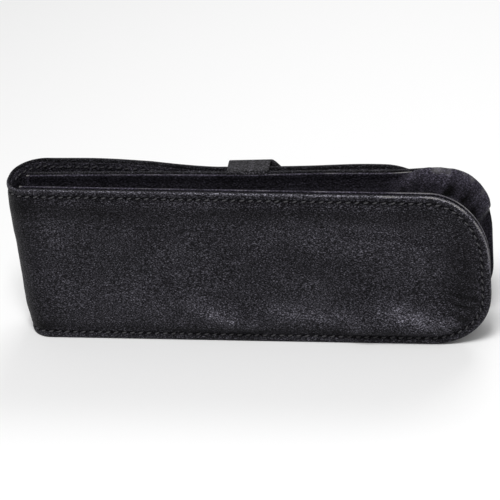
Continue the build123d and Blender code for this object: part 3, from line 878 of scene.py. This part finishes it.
def make_gusset():
    outside, inside = gusset_profile()
    rows = np.array([gusset_point(*ring) for ring in outside + inside])
    reference = gusset_point(0.5, 0.0, 3.0)
    x, z = reference[:, 0], reference[:, 2]
    steps = np.linalg.norm(np.diff(reference, axis=0), axis=1)
    along = np.concatenate([[0], np.cumsum(steps)])
    centre = np.array([CASE_LENGTH - 30.0, 0.0, CASE_HEIGHT / 2])
    upper = smooth(x, 131.0, 148.0) * smooth(z, 26.0, 46.0)
    lower = smooth(x, 142.0, 158.0) * smooth(-z, -30.0, -14.0)
    straight = 1 - np.maximum(upper, lower)
    painted_tone = []
    for row, (share, offset, inset) in enumerate(outside + inside):
        is_outside = row < len(outside)
        sag = math.sin(math.pi * share) ** 1.2
        swell = gusset_swell(share, offset, inset) if is_outside else 0.0
        painted_light = gusset_painted_light(share, inset, along, upper) if is_outside else 0.0
        # Painted light, less painted shade down in the recess away from the upper corner
        painted_tone.append(painted_light - 0.4 * sag * (1 - upper))
        if sag < 0.02 and abs(swell) < 0.02:
            continue
        ripple = 0.45 * running_wave(along, 3.0 * share, 13.0, 6)
        pucker = 0.9 * running_wave(along, 2.0 * share, 2.4, 16)
        pucker += 0.7 * running_wave(along, share, 6.0, 7)
        outwards = (0.3 + 0.78 * smooth(z, 32.0, 50.0)) if swell < 0 else 1.0
        bulge = upper * swell * outwards - 1.2 * lower * sag
        amount = sag * (ripple + (upper + lower) * pucker) + bulge
        rows[row] += inward_directions(rows[row], centre, straight) * amount[:, None]
    total, count = rows.shape[:2]
    faces = []
    for row in range(total):
        following = (row + 1) % total
        for index in range(count - 1):
            a, b = row * count + index, row * count + index + 1
            c, d = following * count + index + 1, following * count + index
            faces.append((a, d, c, b))
    faces.append(tuple(row * count for row in range(total)))
    faces.append(tuple(row * count + count - 1 for row in reversed(range(total))))
    obj = make_object("gusset_skin", rows.reshape(-1, 3), faces, shaded_gusset_skin)
    store_painted_light(obj, np.concatenate(painted_tone))
    return obj


gusset_skin = make_gusset()

# Strap: from the front panel's top seam round the flap to its bottom seam
STRAP_TOP = float(top_at(STRAP_CENTRE))
STRAP_PLACE = (STRAP_CENTRE - MOUTH) / math.cos(LEAN)


def strap_path():
    """Middle line of the strap as (depth from the front flange, z), from the bottom seam up."""
    half = STRAP_THICKNESS / 2
    outer = STRAP_INNER + half
    bend = outer - STRAP_BEND
    low, high = half + STRAP_BEND, STRAP_TOP - half - STRAP_BEND
    turns = [(STRAP_BEND * math.sin(turn), STRAP_BEND * math.cos(turn))
             for turn in np.linspace(0, math.pi / 2, 7)]
    line = [(STRAP_TAB_DEPTH, STEP + STRAP_TAB), (STRAP_TAB_DEPTH, STEP + 1.0)]
    line += [(0.75, half + 0.35), (1.2, half)]
    line += [(bend + sine, low - cosine) for sine, cosine in turns]
    line += [(outer, z) for z in np.linspace(low, high, 26)[1:-1]]
    line += [(bend + cosine, high + sine) for sine, cosine in turns]
    top = STRAP_TOP - half
    line += [(4.6, top), (2.6, top), (1.2, top), (0.75, top - 0.35)]
    inside = STRAP_TOP - STEP
    line += [(STRAP_TAB_DEPTH, inside - 1.0), (STRAP_TAB_DEPTH, inside - STRAP_TAB)]
    return np.array(line)


def strap_skew(down):
    """Slip of the strap along the flap, with the distance down from its top."""
    return STRAP_SKEW * float(smooth(down, 0.0, 5.0) * smooth(-down, -46.0, -12.0))


def strap_flare(across, down):
    """Lift of the strap's far edge off the flap, near its top."""
    side = smooth(across, 1.0, STRAP_WIDTH / 2)
    return STRAP_FLARE * float(side * smooth(down, 1.0, 5.0) * smooth(-down, -22.0, -8.0))


def strap_section():
    """(across, outwards) round the strap: rounded edges, a groove beside each, a slight crown."""
    half = STRAP_THICKNESS / 2
    width = STRAP_WIDTH / 2
    edge = 0.3
    left = [(-width + edge, -half), (-width, -half + edge)]
    left += [(-width, half - edge), (-width + edge, half)]
    flat = [-width + 1.2, -width + 1.7, -width + 2.05, -width + 2.35, -width + 2.8, -4.0, -2.0]
    drop = [0.0, -0.1, -0.3, -0.3, -0.08, 0.06, 0.1]
    left += [(across, half + fall) for across, fall in zip(flat, drop)]
    crown = (0.0, half + 0.12)
    return left + [crown] + [(-across, lift) for across, lift in reversed(left)]


def make_strap():
    line = strap_path()
    tangent = np.gradient(line, axis=0)
    tangent /= np.linalg.norm(tangent, axis=1, keepdims=True)
    outward = np.stack([tangent[:, 1], -tangent[:, 0]], axis=-1)
    half = STRAP_THICKNESS / 2
    section = strap_section()
    points = []
    for (depth, z), out in zip(line, outward):
        run = max(0.0, min(1.0, (depth - 3.0) / 4.0))
        far = smooth(depth, STRAP_INNER - 1.5, STRAP_INNER + half)
        down = STRAP_TOP - z
        skew = far * strap_skew(down)
        raised = STRAP_LIFT * far * float(smooth(-down, -4.0, -1.0))
        upright = far > 0.98 and 6 < down < STRAP_TOP - 6
        for across, lift in section:
            if lift > 0.1 and not upright:
                lift = half
            d = depth + out[0] * lift + far * strap_flare(across, down)
            height = z + out[1] * lift + raised
            x, y = front_plan(STRAP_PLACE + across + skew, d)
            sway = front_sway(x, height) * (1 - run)
            points.append((float(x), float(y + sway), height))
    rows, count = len(line), len(section)
    faces = grid_faces(rows, count, True)
    faces.append(tuple(reversed(range(count))))
    faces.append(tuple(range((rows - 1) * count, rows * count)))
    return make_object("strap_loop", points, faces, strap_skin)


strap_loop = make_strap()


# Stitches: short rounded lengths of thread that dip into the leather at both ends
def stitch_row(name, path, surface, material):
    """path gives (s, z) points; surface gives the place of (s, z, rise above the groove)."""
    steps = np.hypot(np.diff(path[:, 0]), np.diff(path[:, 1]))
    along = np.concatenate([[0], np.cumsum(steps)])
    count = int(along[-1] / STITCH_PITCH)
    points, faces = [], []

    def at(distance):
        return np.array([np.interp(distance, along, values) for values in path.T])

    for index in range(count):
        middle = (index + 0.5) / count * along[-1]
        lean = STITCH_LEAN + STITCH_LEAN_CHANGE * math.sin(index * 2.7)
        base = len(points)
        for k in range(STITCH_RINGS):
            t = k / (STITCH_RINGS - 1) * 2 - 1
            where = middle + t * STITCH_LENGTH / 2
            s, z = at(where)
            run = at(min(where + 0.2, along[-1])) - (s, z)
            run = run / (np.linalg.norm(run) + 1e-9)
            side = np.array([-run[1], run[0]])
            thick = STITCH_RADIUS * math.sqrt(max(1 - (abs(t) ** 3.5), 0.06))
            rise = STITCH_RISE - STITCH_DIP * abs(t) ** 3
            for turn in range(STITCH_SIDES):
                angle = 2 * math.pi * turn / STITCH_SIDES
                off = side * (thick * math.cos(angle) + lean * t)
                height = rise + thick * STITCH_FLATNESS * math.sin(angle)
                points.append(surface(s + off[0], z + off[1], height))
        for k in range(STITCH_RINGS - 1):
            for turn in range(STITCH_SIDES):
                a = base + k * STITCH_SIDES + turn
                b = base + k * STITCH_SIDES + (turn + 1) % STITCH_SIDES
                faces.append((a, a + STITCH_SIDES, b + STITCH_SIDES, b))
        last = base + (STITCH_RINGS - 1) * STITCH_SIDES
        faces.append(tuple(base + turn for turn in range(STITCH_SIDES)))
        faces.append(tuple(last + turn for turn in reversed(range(STITCH_SIDES))))
    return make_object(name, points, faces, material)


def sunk(plan, with_height=False):
    """Surface at the bottom of a stitch groove."""
    def surface(s, z, rise):
        depth = STITCH_DEPTH - rise
        x, y = plan(s, depth, z) if with_height else plan(s, depth)
        return float(x), float(y), float(z)
    return surface


def inside_flap(s, z, rise):
    """Surface of the flap's lining, on which the stitches face the pens."""
    return sunk(flap_plan)(s, z, STITCH_DEPTH - float(flap_thickness(s)) - SHEET - rise)


def strap_surface(across, z, rise):
    down = STRAP_TOP - z
    depth = STRAP_INNER + STRAP_THICKNESS - STRAP_GROOVE + rise + strap_flare(across, down)
    x, y = front_plan(STRAP_PLACE + across + strap_skew(down), depth)
    return float(x), float(y), float(z)


def groove_path(outline, start):
    path = np.stack(outline.ring(STITCH_INSET), axis=-1)
    if outline.closed:
        path = path[: len(path) - (RING_ACROSS - 2)]
    return path[path[:, 0] > start]


back_path = groove_path(back_outline, BACK_START)
flap_path = groove_path(flap_outline, FLAP_START)
front_path = groove_path(front_outline, -1.0)
back_stitches = stitch_row("back_stitches", back_path, sunk(back_plan), thread)
flap_stitches = stitch_row("flap_stitches", flap_path, sunk(flap_plan), thread)
inner_stitches = stitch_row("flap_inner_stitches", flap_path, inside_flap, inner_thread)
front_stitches = stitch_row("front_stitches", front_path, sunk(front_face_plan, True), thread)

strap_rows = []
heights = np.linspace(STEP + STRAP_SEAM_END, STRAP_TOP - STEP - STRAP_SEAM_END, 60)
for number, side in enumerate((-1, 1), 1):
    across = np.full(heights.shape, side * (STRAP_WIDTH / 2 - STRAP_SEAM_INSET))
    path = np.stack([across, heights], axis=-1)
    strap_rows.append(stitch_row("strap_stitches_%d" % number, path, strap_surface, thread))


def row_point(x, y):
    return tuple(float(v) for v in np.array([x, y, 0.0]) * MM + ORIGIN)


for piece in (back_skin, back_inner, back_stitches):
    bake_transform(piece)
for piece in (flap_skin, flap_inner, flap_stitches, inner_stitches):
    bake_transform(piece)
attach(flap_core, "flap")
for piece in (front_skin, front_inner, front_stitches, gusset_skin, back_core, front_core):
    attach(piece, "pouch")
for piece in [strap_loop] + strap_rows:
    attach(piece, "pouch")

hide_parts("back_leather", "spine_leather")
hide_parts("back_lining", "spine_lining")
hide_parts("back_thread", "spine_thread")
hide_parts("flap_leather")
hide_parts("flap_lining")
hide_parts("flap_thread")
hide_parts("front_leather")
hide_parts("front_lining")
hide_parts("front_thread")
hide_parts("gusset_bottom", "gusset_end", "gusset_top")
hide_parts("strap_band", "strap_foot")
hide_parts("strap_thread")
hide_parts("back_board")
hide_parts("front_board")
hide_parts("flap_board")
for name in ("divider_1", "divider_2"):
    dress(name, inner_skin)
dress("divider_thread", thread)


# Floor and lights, in metres
FLOOR_HALF = 4
FLOOR_DROP = 0.00005


def shown_ray(tree):
    """1 for rays from the camera, from gloss and from glass, which all see the pale background."""
    ray = node(tree, "ShaderNodeLightPath")
    total = ray.outputs["Is Camera Ray"]
    for name in ("Is Glossy Ray", "Is Transmission Ray"):
        larger = node(tree, "ShaderNodeMath", operation="MAXIMUM")
        tree.links.new(total, larger.inputs[0])
        tree.links.new(ray.outputs[name], larger.inputs[1])
        total = larger.outputs[0]
    return total


scene = bpy.context.scene
floor_mesh = bpy.data.meshes.new("floor")
corners = [(x * FLOOR_HALF, y * FLOOR_HALF, 0) for x, y in ((-1, -1), (1, -1), (1, 1), (-1, 1))]
floor_mesh.from_pydata(corners, [], [(0, 1, 2, 3)])
floor = bpy.data.objects.new("floor", floor_mesh)
scene.collection.objects.link(floor)
floor.location.z = -FLOOR_DROP
floor_paint = bpy.data.materials.new("floor_paint")
floor_paint.use_nodes = True
paint = floor_paint.node_tree
paint.nodes.clear()
grey = node(paint, "ShaderNodeBsdfDiffuse", Color=(0.4, 0.4, 0.4, 1))
pale = node(paint, "ShaderNodeBsdfDiffuse", Color=(0.94, 0.94, 0.94, 1))
shown = node(paint, "ShaderNodeMixShader")
floor_out = node(paint, "ShaderNodeOutputMaterial")
paint.links.new(shown_ray(paint), shown.inputs[0])
paint.links.new(grey.outputs[0], shown.inputs[1])
paint.links.new(pale.outputs[0], shown.inputs[2])
paint.links.new(shown.outputs[0], floor_out.inputs["Surface"])
floor_mesh.materials.append(floor_paint)

world = bpy.data.worlds.new("world")
scene.world = world
world.use_nodes = True
sky = world.node_tree
sky.nodes.clear()
lit = node(sky, "ShaderNodeBackground", Color=(1, 1, 1, 1), Strength=0.3)
seen = node(sky, "ShaderNodeBackground", Color=(1, 1, 1, 1), Strength=1.0)
either = node(sky, "ShaderNodeMixShader")
sky_out = node(sky, "ShaderNodeOutputWorld")
sky.links.new(shown_ray(sky), either.inputs[0])
sky.links.new(lit.outputs[0], either.inputs[1])
sky.links.new(seen.outputs[0], either.inputs[2])
sky.links.new(either.outputs[0], sky_out.inputs["Surface"])


def area(name, where, target, size, power):
    lamp = bpy.data.lights.new(name, "AREA")
    lamp.shape = "RECTANGLE"
    lamp.size, lamp.size_y = size
    lamp.energy = power
    obj = bpy.data.objects.new(name, lamp)
    scene.collection.objects.link(obj)
    obj.location = where
    obj.rotation_mode = "QUATERNION"
    obj.rotation_quaternion = (Vector(target) - Vector(where)).to_track_quat("-Z", "Y")


area("key", where=(0.02, -0.34, 0.75), target=(0, 0, 0.03), size=(0.25, 0.25), power=4.7)
area("back_top", where=(0.15, 0.45, 0.6), target=(0, 0, 0.04), size=(0.5, 0.25), power=1.7)

# Camera: its focal length is in pixels of a picture 500 wide, its distance in metres and its
# target in millimetres
FOCAL_LENGTH = 1945.0
PICTURE_WIDTH = 500.0
SENSOR_WIDTH = 36.0
DISTANCE = 0.7
TARGET = (85.5, 10.0, 33.4)
azimuth, elevation, roll = math.radians(12.54), math.radians(33.0), math.radians(-6.32)

scene.view_settings.view_transform = "Standard"
camera_data = bpy.data.cameras.new("camera")
camera = bpy.data.objects.new("camera", camera_data)
scene.collection.objects.link(camera)
scene.camera = camera
camera_data.sensor_width = SENSOR_WIDTH
camera_data.lens = FOCAL_LENGTH / PICTURE_WIDTH * SENSOR_WIDTH
camera_data.clip_start = 0.05
camera_data.clip_end = 20.0
back_direction = Vector((
    math.sin(azimuth) * math.cos(elevation),
    -math.cos(azimuth) * math.cos(elevation),
    math.sin(elevation),
))
level = Vector((math.cos(azimuth), math.sin(azimuth), 0.0))
upward = back_direction.cross(level)
right = math.cos(roll) * level + math.sin(roll) * upward
above = -math.sin(roll) * level + math.cos(roll) * upward
target = Vector(row_point(*TARGET[:2])) + Vector((0, 0, TARGET[2] * MM))
matrix = Matrix((right, above, back_direction)).transposed().to_4x4()
matrix.translation = target + back_direction * DISTANCE
camera.matrix_world = matrix

bpy.context.view_layer.update()
